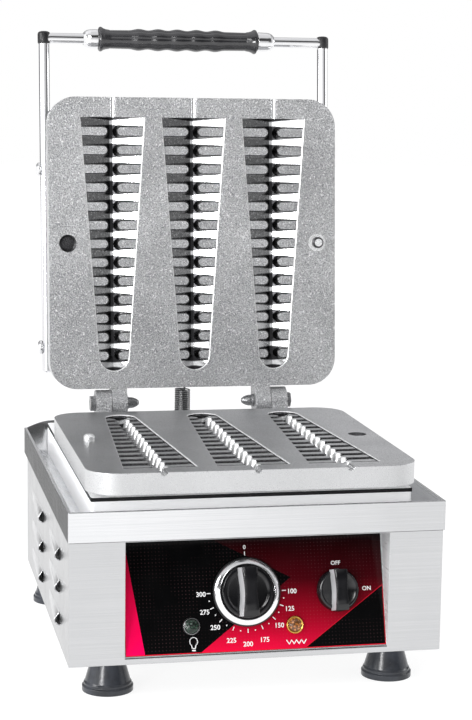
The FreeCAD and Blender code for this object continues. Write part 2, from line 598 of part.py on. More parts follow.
def base_parts():
    out = {
        "body_shell": body_shell(),
        "bottom_plate": bottom_plate(),
        "rear_panel": rear_panel(),
        "control_panel": control_panel(),
        "fascia_decal": fascia_decal(),
        "overflow_tray": overflow_tray(),
        "plinth_box": plinth_box(),
        "lower_mould_plate": mould_plate(True),
        "lower_dowel": dowel(True),
        "lower_heater": heater(HEAT_LOW, -1),
        "lower_heater_clamp": clamp_plate(CLAMP_LOW),
        "lower_clamp_bolt_left": clamp_bolt(-46.0, CLAMP_LOW, -1),
        "lower_clamp_bolt_right": clamp_bolt(46.0, CLAMP_LOW, -1),
        "lower_insulation": insulation(TRAY_FLOOR + 4.0, CLAMP_LOW, 116.0, 42.0, 268.0),
        "thermostat_body": control_body(THERMO, 46, 36, 30, 13.0),
        "thermostat_bezel": thermostat_bezel(),
        "switch_body": control_body(SWITCH, 36, 36, 26, 11.0),
        "green_lamp_body": lamp_body(GREEN, 7.3),
        "green_lamp_lens": lamp_lens(GREEN),
        "amber_lamp_body": lamp_body(AMBER, 6.9),
        "amber_lamp_lens": lamp_lens(AMBER),
        "terminal_block": terminal_block(),
        "cable_gland": cable_gland(),
        "base_hinge_ear_left": hinge_ear(True, 0),
        "base_hinge_ear_right": hinge_ear(True, 1),
        "hinge_bolt_left": hinge_bolt(True),
        "hinge_bolt_right": hinge_bolt(False),
        "hinge_nut_left": hinge_nut(True),
        "hinge_nut_right": hinge_nut(False),
        "counter_spring": counter_spring(),
        "spring_eye_lower": spring_eye_lower(),
        "thermostat_knob": knob(THERMO, 21.6, 8.0, 17.0, 11.0, 6.0, 21.0, 13.0),
        "switch_knob": knob(SWITCH, 18.4, 7.0, 14.0, 10.0, 5.0, 18.0, 11.0),
    }
    for name, x, y in FEET:
        out["foot_" + name] = foot(x, y)
        out["foot_screw_" + name] = foot_screw(x, y)
    return out


def lid_parts():
    out = {
        "upper_mould_plate": mould_plate(False),
        "lid_hinge_ear_left": hinge_ear(False, 0),
        "lid_hinge_ear_right": hinge_ear(False, 1),
        "upper_dowel": dowel(False),
        "upper_heater": heater(HEAT_UP, 1),
        "upper_heater_clamp": clamp_plate(CLAMP_UP),
        "upper_clamp_bolt_left": clamp_bolt(-46.0, CLAMP_UP + 2.0, 1),
        "upper_clamp_bolt_right": clamp_bolt(46.0, CLAMP_UP + 2.0, 1),
        "upper_insulation": insulation(CLAMP_UP + 2.0, n_z(COV_N1) - COV_T, 110.0, 44.0, 262.0),
        "upper_cover": upper_cover(),
        "handle_rod": handle_rod(),
        "handle_grip": handle_grip(),
        "ferrule_left": ferrule(FERR_X0, GRIP_X0, True),
        "ferrule_right": ferrule(GRIP_X1, FERR_X1, False),
        "spring_eye_upper": spring_eye_upper(),
    }
    for side, tag in ((-1, "left"), (1, "right")):
        for v, end in zip(ARM_BOLT_V, ("outer", "inner")):
            out["arm_bolt_%s_%s" % (tag, end)] = arm_bolt(side, v)
    return {k: lift_lid(s) for k, s in out.items()}


parts = base_parts()
parts.update(lid_parts())
for name, shape in sorted(parts.items()):
    shape.translate(V(0, -ROW_Y, 0))
    shape.exportStep("parts/%s.step" % name)
    b = shape.BoundBox
    print("%-26s solids %d valid %s  x %.1f %.1f  y %.1f %.1f  z %.1f %.1f" % (
        name, len(shape.Solids), shape.isValid(), b.XMin, b.XMax, b.YMin, b.YMax, b.ZMin, b.ZMax))
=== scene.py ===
import json
import math
import bpy
import bmesh
from mathutils import Matrix, Vector


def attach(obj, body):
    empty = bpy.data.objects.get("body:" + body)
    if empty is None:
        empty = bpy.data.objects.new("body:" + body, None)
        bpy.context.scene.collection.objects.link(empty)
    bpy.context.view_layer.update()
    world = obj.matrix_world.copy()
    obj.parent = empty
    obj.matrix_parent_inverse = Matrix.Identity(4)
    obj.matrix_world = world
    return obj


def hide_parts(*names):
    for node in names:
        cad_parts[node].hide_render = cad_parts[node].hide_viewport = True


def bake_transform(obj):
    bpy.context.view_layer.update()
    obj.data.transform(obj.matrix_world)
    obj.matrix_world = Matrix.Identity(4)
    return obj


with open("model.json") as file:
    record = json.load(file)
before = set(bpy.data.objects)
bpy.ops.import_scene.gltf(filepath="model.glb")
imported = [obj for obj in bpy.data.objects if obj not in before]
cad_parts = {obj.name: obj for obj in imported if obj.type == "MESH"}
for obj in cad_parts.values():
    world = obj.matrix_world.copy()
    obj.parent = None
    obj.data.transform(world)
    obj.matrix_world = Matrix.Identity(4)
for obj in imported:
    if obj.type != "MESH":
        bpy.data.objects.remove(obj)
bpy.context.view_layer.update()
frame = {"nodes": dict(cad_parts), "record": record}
NODES = frame["nodes"]
scene = bpy.context.scene
ROW_Y = 186.8                                   # front of the tray to the middle of the row, mm
PLATE_Y, PARTING, MOULD_FACE = 9.8, 184.6, 184.9  # front edge and faces of the two mould plates
AXIS_Y, AXIS_Z, OPEN = 296.5, 190.4, math.radians(95.0)
CAVITY_X, CAVITY_START, CAVITY_END, CAVITY_HW, CAVITY_LOSS = 76.9, 18.6, 241.9, 30.0, 16.1
DOWEL_X, DOWEL_V = 119.6, 136.1
TOOTH_STEP, FIRST_TOOTH = 17.5, 31.7
SPRING_X, SPRING_Y = -6.0, 325.0
CORNER_X = 0.1357


def P(x, y, z):
    """A point in millimetres, measured from the front of the tray, as a point of the row frame."""
    return Vector((x / 1000.0, (y - ROW_Y) / 1000.0, z / 1000.0))


# ---------------------------------------------------------------- material kit
class Mat:
    def __init__(self, name, **values):
        self.m = bpy.data.materials.new(name)
        self.m.use_nodes = True
        self.t = self.m.node_tree
        self.b = self.t.nodes["Principled BSDF"]
        for k, v in values.items():
            self.b.inputs[k.replace("_", " ")].default_value = v
        self.obj = self.node("ShaderNodeTexCoord").outputs["Object"]

    def node(self, kind, **props):
        n = self.t.nodes.new(kind)
        for k, v in props.items():
            setattr(n, k, v)
        return n

    def link(self, a, b):
        self.t.links.new(a, b)

    def scaled(self, sx, sy, sz):
        n = self.node("ShaderNodeVectorMath", operation="MULTIPLY")
        self.link(self.obj, n.inputs[0])
        n.inputs[1].default_value = (sx, sy, sz)
        return n.outputs[0]

    def noise(self, scale, detail=3.0, rough=0.5, vec=None):
        n = self.node("ShaderNodeTexNoise")
        n.inputs["Scale"].default_value = scale
        n.inputs["Detail"].default_value = detail
        n.inputs["Roughness"].default_value = rough
        self.link(vec if vec is not None else self.obj, n.inputs["Vector"])
        return n.outputs["Fac"]

    def voronoi(self, scale):
        n = self.node("ShaderNodeTexVoronoi", feature="F1")
        n.inputs["Scale"].default_value = scale
        self.link(self.obj, n.inputs["Vector"])
        return n.outputs["Distance"]

    def span(self, v, a, b, c, d):
        n = self.node("ShaderNodeMapRange")
        self.link(v, n.inputs["Value"])
        for k, x in (("From Min", a), ("From Max", b), ("To Min", c), ("To Max", d)):
            n.inputs[k].default_value = x
        return n.outputs["Result"]

    def math(self, op, a, b=0.0):
        n = self.node("ShaderNodeMath", operation=op)
        for i, v in enumerate((a, b)):
            if isinstance(v, (int, float)):
                n.inputs[i].default_value = v
            else:
                self.link(v, n.inputs[i])
        return n.outputs[0]

    def mix(self, fac, a, b, blend="MIX"):
        n = self.node("ShaderNodeMix", data_type="RGBA", blend_type=blend)
        for sock, v in ((n.inputs[0], fac), (n.inputs[6], a), (n.inputs[7], b)):
            if isinstance(v, (int, float)):
                sock.default_value = v
            elif isinstance(v, tuple):
                sock.default_value = v if len(v) == 4 else v + (1.0,)
            else:
                self.link(v, sock)
        return n.outputs[2]

    def ramp(self, v, stops):
        n = self.node("ShaderNodeValToRGB")
        self.link(v, n.inputs[0])
        e = n.color_ramp.elements
        while len(e) < len(stops):
            e.new(0.5)
        for i, (p, c) in enumerate(stops):
            e[i].position = p
            e[i].color = c + (1.0,) if len(c) == 3 else c
        return n.outputs[0]

    def bump(self, height, strength, dist, bevel=0.0, after=None):
        n = self.node("ShaderNodeBump")
        n.inputs["Strength"].default_value = strength
        n.inputs["Distance"].default_value = dist
        self.link(height, n.inputs["Height"])
        if after is not None:
            self.link(after, n.inputs["Normal"])
        elif bevel:
            v = self.node("ShaderNodeBevel", samples=6)
            v.inputs["Radius"].default_value = bevel
            self.link(v.outputs[0], n.inputs["Normal"])
        return n.outputs[0]

    def set(self, name, out):
        self.link(out, self.b.inputs[name])


def axis(mat, i):
    s = mat.node("ShaderNodeSeparateXYZ")
    mat.link(mat.obj, s.inputs[0])
    return s.outputs[i]


def paint_light_across(mat, base, left, right):
    """Painted light: the base colour scaled evenly from one side of the machine to the other."""
    k = mat.span(axis(mat, 0), -0.12, 0.12, 0.0, 1.0)
    return mat.mix(1.0, base, mat.mix(k, (left,) * 3, (right,) * 3), blend="MULTIPLY")


def steel(name, grey, rough, grain=1.0, bevel=0.0009, metal=1.0, edge=1.0, painted_light_fade=None):
    """Satin polished stainless sheet: long fine polishing lines, faint smears and soft waviness."""
    m = Mat(name, Metallic=metal)
    m.b.inputs["Specular Tint"].default_value = (edge, edge, edge, 1)
    side = m.noise(1.0, 4.0, 0.65, m.scaled(7, 7, 1500))
    flat = m.noise(1.0, 4.0, 0.65, m.scaled(1500, 7, 7))
    nrm = m.node("ShaderNodeSeparateXYZ")
    m.link(m.node("ShaderNodeTexCoord").outputs["Normal"], nrm.inputs[0])
    up = m.span(m.math("ABSOLUTE", nrm.outputs[2]), 0.6, 0.8, 0.0, 1.0)
    lines = m.math("ADD", m.math("MULTIPLY", side, m.math("SUBTRACT", 1.0, up)),
                   m.math("MULTIPLY", flat, up))
    smear = m.noise(9.0, 3.0, 0.55)
    cloud = m.noise(38.0, 4.0, 0.6)
    lo = tuple(grey * k for k in (0.93, 0.94, 0.955))
    hi = tuple(min(1.0, grey * k) for k in (1.04, 1.045, 1.06))
    col = m.mix(m.span(lines, 0.35, 0.65, 0.0, 1.0), lo, hi)
    col = m.mix(m.span(smear, 0.4, 0.7, 0.0, 0.22), col, tuple(grey * k for k in (0.86, 0.87, 0.89)))
    m.set("Base Color", paint_light_across(m, col, *painted_light_fade) if painted_light_fade else col)
    m.set("Roughness", m.math("ADD", m.span(lines, 0.3, 0.7, rough - 0.05, rough + 0.05),
                              m.span(cloud, 0.35, 0.7, -0.03, 0.05)))
    b1 = m.bump(lines, 0.05 * grain, 0.0004, bevel)
    m.set("Normal", m.bump(m.noise(5.0, 1.0, 0.4), 0.10, 0.004, after=b1))
    return m.m


def casting(name, dark, light, rough, grain, metal=0.85, sparkle=0.7, painted_light_fade=None):
    """Bead blasted aluminium: granular peened skin, with painted glints for its sparkling facets and small
    darker specks.
    """
    m = Mat(name, Metallic=metal)
    fine = m.noise(1250.0, 2.0, 0.7)
    grit = m.voronoi(620.0)
    mid = m.noise(640.0, 3.0, 0.65)
    cloud = m.noise(16.0, 4.0, 0.6)
    base = m.mix(m.span(fine, 0.37, 0.63, 0.0, 1.0), dark, light)
    base = m.mix(m.span(cloud, 0.35, 0.7, 0.0, 0.35), base, tuple(v * 0.80 for v in dark))
    # painted glints: bright specks standing in for the sparkling facets
    base = m.mix(m.span(mid, 0.57, 0.68, 0.0, sparkle), base,
                 tuple(min(1.0, v * 1.45) for v in light))
    base = m.mix(m.span(grit, 0.0, 0.24, 0.5 * sparkle, 0.0), base,
                 tuple(v * 0.4 for v in dark))
    m.set("Base Color", paint_light_across(m, base, *painted_light_fade) if painted_light_fade else base)
    m.set("Roughness", m.span(fine, 0.3, 0.7, rough - 0.09, rough + 0.11))
    b1 = m.bump(fine, grain, 0.0004, 0.0006)
    m.set("Normal", m.bump(mid, grain * 0.8, 0.0008, after=b1))
    return m.m


def chrome(name, grey=0.86, rough=0.05):
    m = Mat(name, Metallic=1.0)
    haze = m.noise(160.0, 4.0, 0.6)
    wave = m.noise(35.0, 2.0, 0.5)
    col = m.mix(m.span(haze, 0.4, 0.7, 0.0, 0.25), (grey, grey, grey * 1.01),
                (grey * 0.88, grey * 0.885, grey * 0.9))
    m.set("Base Color", col)
    m.set("Roughness", m.span(haze, 0.3, 0.75, rough, rough + 0.07))
    m.set("Normal", m.bump(wave, 0.05, 0.001, 0.0004))
    return m.m


def plastic(name, col, rough, grain=0.02, scale=900.0, wear=0.12, bevel=0.0005, gloss=0.5):
    m = Mat(name, Specular_IOR_Level=gloss)
    fine = m.noise(scale, 3.0, 0.6)
    soft = m.noise(45.0, 3.0, 0.55)
    m.set("Base Color", m.mix(m.span(soft, 0.35, 0.7, 0.0, 1.0), col,
                              tuple(min(1.0, v * 1.5 + 0.004) for v in col)))
    m.set("Roughness", m.math("ADD", m.span(fine, 0.3, 0.7, rough - 0.03, rough + 0.04),
                              m.span(soft, 0.4, 0.7, 0.0, wear)))
    m.set("Normal", m.bump(fine, grain, 0.0004, bevel))
    return m.m


def rubber(name):
    m = Mat(name)
    fine = m.noise(700.0, 4.0, 0.65)
    soft = m.noise(60.0, 3.0, 0.6)
    m.set("Base Color", m.mix(m.span(soft, 0.35, 0.7, 0.0, 1.0), (0.020, 0.022, 0.027),
                              (0.045, 0.050, 0.062)))
    m.set("Roughness", m.span(fine, 0.3, 0.7, 0.16, 0.28))
    m.set("Normal", m.bump(fine, 0.12, 0.0005, 0.0006))
    return m.m


def lens(name, col, glow, coat=1.0):
    m = Mat(name, Metallic=0.0, Coat_Weight=coat, Coat_Roughness=0.02, Emission_Strength=glow)
    fac = m.voronoi(520.0)
    dark = tuple(v * 0.25 for v in col)
    mixed = m.mix(m.span(fac, 0.05, 0.55, 0.0, 1.0),
                  tuple(min(1.0, v * 1.6 + 0.02) for v in col), dark)
    m.set("Base Color", mixed)
    m.set("Emission Color", mixed)
    m.set("Roughness", m.span(fac, 0.0, 0.6, 0.08, 0.22))
    m.set("Normal", m.bump(fac, 0.5, 0.0008))
    return m.m


def brass(name):
    m = Mat(name, Metallic=1.0)
    haze = m.noise(300.0, 3.0, 0.6)
    m.set("Base Color", m.mix(m.span(haze, 0.35, 0.7, 0.0, 1.0), (0.80, 0.50, 0.13),
                              (0.62, 0.36, 0.08)))
    m.set("Roughness", m.span(haze, 0.3, 0.7, 0.10, 0.24))
    m.set("Normal", m.bump(haze, 0.04, 0.0004, 0.0003))
    return m.m


def blanket(name):
    m = Mat(name, Roughness=0.9, Sheen_Weight=0.3)
    fib = m.noise(600.0, 5.0, 0.7, m.scaled(1, 3, 1))
    m.set("Base Color", m.mix(fib, (0.78, 0.76, 0.70), (0.95, 0.94, 0.90)))
    m.set("Normal", m.bump(fib, 0.5, 0.002))
    return m.m


STEEL = steel("steel_body", 0.62, 0.20)
# painted shade: a darker copy of the body steel, with a dimmer edge reflection, for the side walls
STEEL_WALL_SHADED = steel("steel_side_wall_shaded", 0.60, 0.20, edge=0.8)
# painted light: a paler copy of the steel for the tray's pan floor and inner left wall
STEEL_PAN_LIT = steel("steel_pan_floor_lit", 0.84, 0.26)
# painted light: the tray steel is paler on the left and darker on the right
STEEL_TRAY = steel("steel_tray", 0.72, 0.18, painted_light_fade=(1.14, 0.88))
STEEL_PLINTH = steel("steel_plinth", 0.95, 0.34, metal=0.0)
# painted light: the plinth stands in a narrow gap, so it is a paler non-metal copy of the steel with a weak
# glow that keeps it as pale as the sheet round it
glow = STEEL_PLINTH.node_tree.nodes["Principled BSDF"].inputs
glow["Emission Color"].default_value = (1, 1, 1, 1)
glow["Emission Strength"].default_value = 0.2
# painted shade: a much darker copy with a dim edge reflection for the tray's outer left side
STEEL_SIDE_SHADED = steel("steel_tray_side_shaded", 0.34, 0.24, edge=0.3)
STEEL_HOOD = steel("steel_louvre_hood", 0.60, 0.22)
# painted light: a paler, less metallic copy for the returns behind the pillars
STEEL_RETURN_LIT = steel("steel_return_lit", 0.80, 0.30, metal=0.25)
STEEL_PANEL = steel("steel_panel", 0.70, 0.26)
STEEL_INNER = steel("steel_inner", 0.45, 0.34)
# painted light: the lower mould face is darker on the left and paler on the right
CAST_FACE_LOW = casting("cast_face_lower", (0.30, 0.303, 0.31), (0.60, 0.605, 0.615), 0.36, 0.30,
                        sparkle=0.3, painted_light_fade=(0.84, 1.5))
CAST_FACE_UP = casting("cast_face_upper", (0.20, 0.203, 0.21), (0.74, 0.745, 0.755), 0.42, 1.0, sparkle=0.9)
CAST_SIDE = casting("cast_side", (0.62, 0.625, 0.635), (0.70, 0.705, 0.71), 0.32, 0.06, sparkle=0.1)
CAST_GROOVE = casting("cast_groove", (0.74, 0.745, 0.75), (0.86, 0.865, 0.87), 0.20, 0.06, 1.0, 0.1)
# painted shade: a dark copy of the casting for the tooth walls
CAST_FLANK_SHADE = casting("cast_flank_shade", (0.045, 0.045, 0.047), (0.16, 0.16, 0.164), 0.24, 0.10, 1.0, 0.2)
# painted highlight: a bright copy of the casting for the cavity rims, tooth ends and dowels
CAST_RIM_HIGHLIGHT = casting("cast_rim_highlight", (0.84, 0.845, 0.85), (0.92, 0.925, 0.93), 0.30, 0.10, 0.6, 0.2)
# painted shade: a dark copy of the casting for the dowel holes and the upper dowel's sides
CAST_HOLE_SHADE = casting("cast_hole_shade", (0.04, 0.04, 0.042), (0.12, 0.12, 0.125), 0.30, 0.2, 1.0, 0.2)
CHROME = chrome("chrome_rod")
CHROME_TRIM = chrome("chrome_trim", 0.9, 0.10)
SPRING = chrome("spring_wire", 0.24, 0.18)
ZINC = steel("zinc_fixings", 0.62, 0.28, 0.5, 0.0003)
HINGE = casting("hinge_hardware", (0.14, 0.142, 0.148), (0.36, 0.365, 0.37), 0.30, 0.10)
BLACK = plastic("black_gloss", (0.004, 0.004, 0.005), 0.10, 0.02, wear=0.05, gloss=0.6)
# painted highlight: grey copies of the black plastic for the sides of the knob bars, bright on the left,
# dimmer on the right
KNOB_HIGHLIGHT = plastic("knob_highlight", (0.34, 0.34, 0.35), 0.14, 0.02, gloss=0.9)
KNOB_DIM_HIGHLIGHT = plastic("knob_dim_highlight", (0.09, 0.09, 0.095), 0.14, 0.02, gloss=0.9)
BLACK_DULL = plastic("black_moulded", (0.012, 0.012, 0.013), 0.34, 0.08, gloss=0.4)
GRIP = plastic("grip_gloss", (0.016, 0.016, 0.018), 0.16, 0.05, 500.0, gloss=0.9)
RUBBER = rubber("rubber_foot")
# painted shadow: a black plastic for the strips that stand in for shadow lines
SHADOW_STRIP = plastic("shadow_strip_black", (0.008, 0.008, 0.009), 0.55, 0.15, gloss=0.3)
GREEN = lens("lens_green", (0.001, 0.030, 0.012), 0.02, 0.25)
AMBER = lens("lens_amber", (0.52, 0.17, 0.02), 0.05)
BRASS = brass("brass_ring")
CHROME_DARK = chrome("chrome_dark", 0.30, 0.12)
BLANKET = blanket("fibre_blanket")
HEATER = steel("heater_sheath", 0.25, 0.42)

BY_SLOT = {
    "body_steel": STEEL, "tray_steel": STEEL_TRAY, "plinth_steel": STEEL_PLINTH, "panel_steel": STEEL_PANEL,
    "inner_steel": STEEL_INNER, "cover_steel": STEEL, "cast_lower": CAST_FACE_LOW, "cast_upper": CAST_FACE_UP,
    "dowel_steel": ZINC, "heater_steel": HEATER, "fixings": ZINC, "rubber": RUBBER, "hinge_steel": HINGE,
    "spring_steel": SPRING, "blanket": BLANKET, "control_plastic": BLACK_DULL, "cable_plastic": BLACK_DULL,
    "bezel_chrome": CHROME_TRIM, "lamp_brass": BRASS, "lens_green": GREEN, "lens_amber": AMBER,
    "knob_black": BLACK, "handle_chrome": CHROME, "grip_black": GRIP,
}
for sp in frame["record"]["subparts"]:
    ob = NODES[sp["node"]]
    ob.data.materials.clear()
    ear = "hinge_ear" in sp["node"]
    ob.data.materials.append(CAST_FACE_UP if ear else BY_SLOT.get(sp["material_slot"], BLACK))


def smooth(ob, degrees):
    """Smooth shading that keeps edges sharper than the given angle."""
    me = ob.data
    if me.has_custom_normals:
        bpy.context.view_layer.objects.active = ob
        ob.select_set(True)
        bpy.ops.mesh.customdata_custom_splitnormals_clear()
        ob.select_set(False)
    me.shade_smooth()
    me.set_sharp_from_angle(angle=math.radians(degrees))


def lid_point(x, v, n):
    """A point of the raised lid: v back from the free edge, n behind the mould face, both in mm."""
    y, z = PLATE_Y + v - AXIS_Y, MOULD_FACE + n - AXIS_Z
    c, k = math.cos(-OPEN), math.sin(-OPEN)
    return P(x, AXIS_Y + y * c - z * k, AXIS_Z + y * k + z * c)


UP = (lid_point(0, 0, 0) - lid_point(0, 100, 0)).normalized()
UP_N = (lid_point(0, 0, 0) - lid_point(0, 0, 10)).normalized()
# per plate: a point on its free edge, the way back, the way out of its face, face material, dowel hole
PLATES = {"lower_mould_plate": (P(0, PLATE_Y, PARTING), Vector((0, 1, 0)), Vector((0, 0, 1)),
                                CAST_FACE_LOW, DOWEL_X),
          "upper_mould_plate": (lid_point(0, 0, 0), -UP, UP_N, CAST_FACE_UP, -DOWEL_X)}


def in_cavity(x, v):
    """Whether a plate position in mm lies within one of the three tapered cavities."""
    u = min((abs(x - k) for k in (-CAVITY_X, 0.0, CAVITY_X)))
    if v > CAVITY_END:
        return math.hypot(u, v - CAVITY_END) < 15.2
    run = (v - CAVITY_START) / (CAVITY_END - CAVITY_START)
    return v > 18.0 and u < CAVITY_HW - CAVITY_LOSS * run + 1.2


def valley(name, origin, back, light, dark):
    """Valley floor: painted highlight towards the outer wall and painted shade round each tooth's foot, a
    pattern set by plate position.
    """
    m = Mat(name, Metallic=1.0)
    d = m.node("ShaderNodeVectorMath", operation="DOT_PRODUCT")
    m.link(m.obj, d.inputs[0])
    d.inputs[1].default_value = back * 1000.0
    base = origin.dot(back) * 1000.0 + FIRST_TOOTH - TOOTH_STEP / 2
    v = m.node("ShaderNodeMath", operation="PINGPONG")
    m.link(m.math("SUBTRACT", d.outputs["Value"], base), v.inputs[0])
    v.inputs[1].default_value = TOOTH_STEP / 2
    u = m.node("ShaderNodeMath", operation="PINGPONG")
    m.link(m.math("MULTIPLY", axis(m, 0), 1000.0), u.inputs[0])
    u.inputs[1].default_value = CAVITY_X / 2
    # painted light and shade: lit inside a wedge between the teeth that widens away from the spine, dark
    # round each tooth's foot
    gap = m.math("SUBTRACT", m.span(u.outputs[0], 1.0, 27.0, 1.9, 4.4), v.outputs[0])
    grain_and_shade_jitter = m.noise(420.0, 3.0, 0.6)
    gap = m.math("ADD", gap, m.span(grain_and_shade_jitter, 0.3, 0.7, -0.12, 0.12))
    m.set("Base Color", m.mix(m.span(gap, -0.5, 0.5, 0.0, 1.0), dark, light))
    m.set("Roughness", m.span(grain_and_shade_jitter, 0.3, 0.7, 0.14, 0.30))
    m.set("Normal", m.bump(grain_and_shade_jitter, 0.08, 0.0005, 0.0006))
    return m.m


# painted light and shade: each plate gets a valley copy for floors and left-facing walls and a dimmer copy
# for right-facing walls
VALLEYS = {n: (valley(n.replace("plate", "valley"), q[0], q[1],
                      (0.86, 0.865, 0.87), (0.035, 0.035, 0.037)),
               valley(n.replace("plate", "valley_shaded"), q[0], q[1],
                      (0.50, 0.505, 0.51), (0.02, 0.02, 0.021)))
           for n, q in PLATES.items()}
FACE, SIDE, GROOVE, FLANK_SHADE, RIM_HIGHLIGHT, BORE_SHADE, VALLEY_LIT, VALLEY_SHADED = range(8)

# the mould plates: peened faces, smooth sides, valleys in painted light and shade, tooth walls in painted
# shade, rims with a painted highlight, dowel holes in painted shade
for name, (origin, back, out, face_mat, hole_x) in PLATES.items():
    me = NODES[name].data
    me.materials.clear()
    for mt in (face_mat, CAST_SIDE, CAST_GROOVE, CAST_FLANK_SHADE, CAST_RIM_HIGHLIGHT, CAST_HOLE_SHADE) + VALLEYS[name]:
        me.materials.append(mt)
    for poly in me.polygons:
        rel = (poly.center - origin) * 1000.0
        x, v, depth = rel.x, rel.dot(back), -rel.dot(out)
        flat = poly.normal.dot(out)
        across = abs((x + CAVITY_X / 2) % CAVITY_X - CAVITY_X / 2)
        tooth_top = 2.2
        # painted shade: the dowel holes take the dark hole copy
        if math.hypot(x - hole_x, v - DOWEL_V) < 8.4 and depth > 0.05 and abs(depth) < 12:
            poly.material_index = BORE_SHADE
        elif flat > 0.98 and depth < 0.4:
            poly.material_index = FACE
        elif depth < 13.5 and in_cavity(x, v):
            # painted light and shade: deep floors and walls facing left take the lit valley copy, deep walls
            # facing right the shaded one
            if flat > 0.985:
                poly.material_index = FACE if depth < tooth_top else VALLEY_LIT
            elif flat > 0.80 and depth > tooth_top:
                poly.material_index = VALLEY_LIT if poly.normal.x < 0 else VALLEY_SHADED
            # painted highlight: the chamfered cavity rims take the bright rim copy
            elif flat > 0.45 and depth < 1.0:
                poly.material_index = RIM_HIGHLIGHT
            # painted highlight: on the lower plate the tooth ends facing left near the spine take the bright
            # rim copy
            elif name == "lower_mould_plate" and poly.normal.x < -0.25 and flat > 0.05 and across < 11.0:
                poly.material_index = RIM_HIGHLIGHT
            # painted shade: the remaining tooth walls take the dark flank copy
            else:
                poly.material_index = FLANK_SHADE
        else:
            poly.material_index = GROOVE if flat > 0.3 else SIDE
for n, ob in NODES.items():
    smooth(ob, 30 if "mould" in n else 28)

# sheet metal: the returns behind the pillars are a paler copy of the steel as painted light, the side walls a
# darker one as painted shade, the louvre hoods their own steel;
# on the tray the outer left side is a darker copy as painted shade, the pan floor a paler one as painted
# light, and the raised back wall takes the louvre-hood steel
shell = NODES["body_shell"].data
for mt in (STEEL_RETURN_LIT, STEEL_HOOD, STEEL_WALL_SHADED):
    shell.materials.append(mt)
for poly in shell.polygons:
    reach, sideways = abs(poly.center.x), abs(poly.normal.x) > 0.9
    if reach > 0.1543 and poly.center.z < 0.125:
        poly.material_index = 2
    elif sideways and 0.1538 < reach < 0.1543:
        poly.material_index = 3
    elif sideways and 0.1085 < reach < 0.1107:
        poly.material_index = 1
tray = NODES["overflow_tray"].data
for mt in (STEEL_SIDE_SHADED, STEEL_HOOD, STEEL_PAN_LIT):
    tray.materials.append(mt)
for poly in tray.polygons:
    n, c = poly.normal, poly.center
    if n.x < -0.9 and c.x < -0.1535:
        poly.material_index = 1
    elif n.y < -0.9 and c.y > 0.15:
        poly.material_index = 2
    elif n.z > 0.9 and c.z < 0.140 or n.x > 0.9 and c.x < -0.1:
        poly.material_index = 3

# dowels: the bright rim copy as a painted highlight, the upper one with its sides in the dark hole copy as
# painted shade
for name in ("lower_dowel", "upper_dowel"):
    pin, out = NODES[name].data, PLATES[name.replace("dowel", "mould_plate")][2]
    pin.materials.append(CAST_HOLE_SHADE)
    pin.materials.append(CAST_RIM_HIGHLIGHT)
    for poly in pin.polygons:
        poly.material_index = 1 if name == "upper_dowel" and poly.normal.dot(out) < 0.8 else 2

# ---------------------------------------------------------------- panel graphics
TI = math.radians(17.1)
TS, TC = math.sin(TI), math.cos(TI)


def on_panel(x, s, n=0.0):
    return P(x, 3.0 + s * TS - n * TC, 37.0 + s * TC + n * TS)


PANEL_O = on_panel(0, 0)
PANEL_T = Vector((0, TS, TC))


def place_object(name, me, body):
    """Links a mesh as an object that rides on a body."""
    ob = bpy.data.objects.new(name, me)
    scene.collection.objects.link(ob)
    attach(ob, body)
    return ob


def mesh_object(name, verts, faces, mat, body="base"):
    me = bpy.data.meshes.new(name)
    me.from_pydata([tuple(v) for v in verts], [], faces)
    me.update()
    me.materials.append(mat)
    return place_object(name, me, body)


def mesh_from(name, bm):
    me = bpy.data.meshes.new(name)
    bm.to_mesh(me)
    bm.free()
    return me


def ink(name, stops, x_stops=None, dots=0.35, rough=0.12):
    """Printed film under a glossy clear coat: colour runs up the panel, with a fine screen of dots."""
    m = Mat(name, Specular_IOR_Level=0.12)
    d = m.node("ShaderNodeVectorMath", operation="DOT_PRODUCT")
    m.link(m.obj, d.inputs[0])
    d.inputs[1].default_value = PANEL_T
    s = m.span(d.outputs["Value"], PANEL_O.dot(PANEL_T), PANEL_O.dot(PANEL_T) + 0.092, 0.0, 1.0)
    col = m.ramp(s, stops)
    if x_stops:
        col = m.mix(m.ramp(m.span(axis(m, 0), -0.110, 0.110, 0.0, 1.0), x_stops), col, (0.0, 0.0, 0.0))
    cell = m.node("ShaderNodeVectorMath", operation="FRACTION")
    comb = m.node("ShaderNodeCombineXYZ")
    m.link(m.math("MULTIPLY", axis(m, 0), 340.0), comb.inputs[0])
    m.link(m.math("MULTIPLY", d.outputs["Value"], 340.0), comb.inputs[1])
    m.link(comb.outputs[0], cell.inputs[0])
    off = m.node("ShaderNodeVectorMath", operation="DISTANCE")
    m.link(cell.outputs[0], off.inputs[0])
    off.inputs[1].default_value = (0.5, 0.5, 0.0)
    dot = m.span(off.outputs["Value"], 0.10, 0.17, dots, 0.0)
    patchy = m.span(m.noise(40.0), 0.42, 0.62, 0.0, 1.0)
    col = m.mix(m.math("MULTIPLY", dot, patchy), col, (0.35, 0.16, 0.18))
    m.set("Base Color", col)
    m.set("Roughness", m.span(m.noise(70.0), 0.3, 0.7, rough, rough + 0.10))
    m.set("Normal", m.bump(m.noise(24.0, 2.0), 0.03, 0.001))
    return m.m


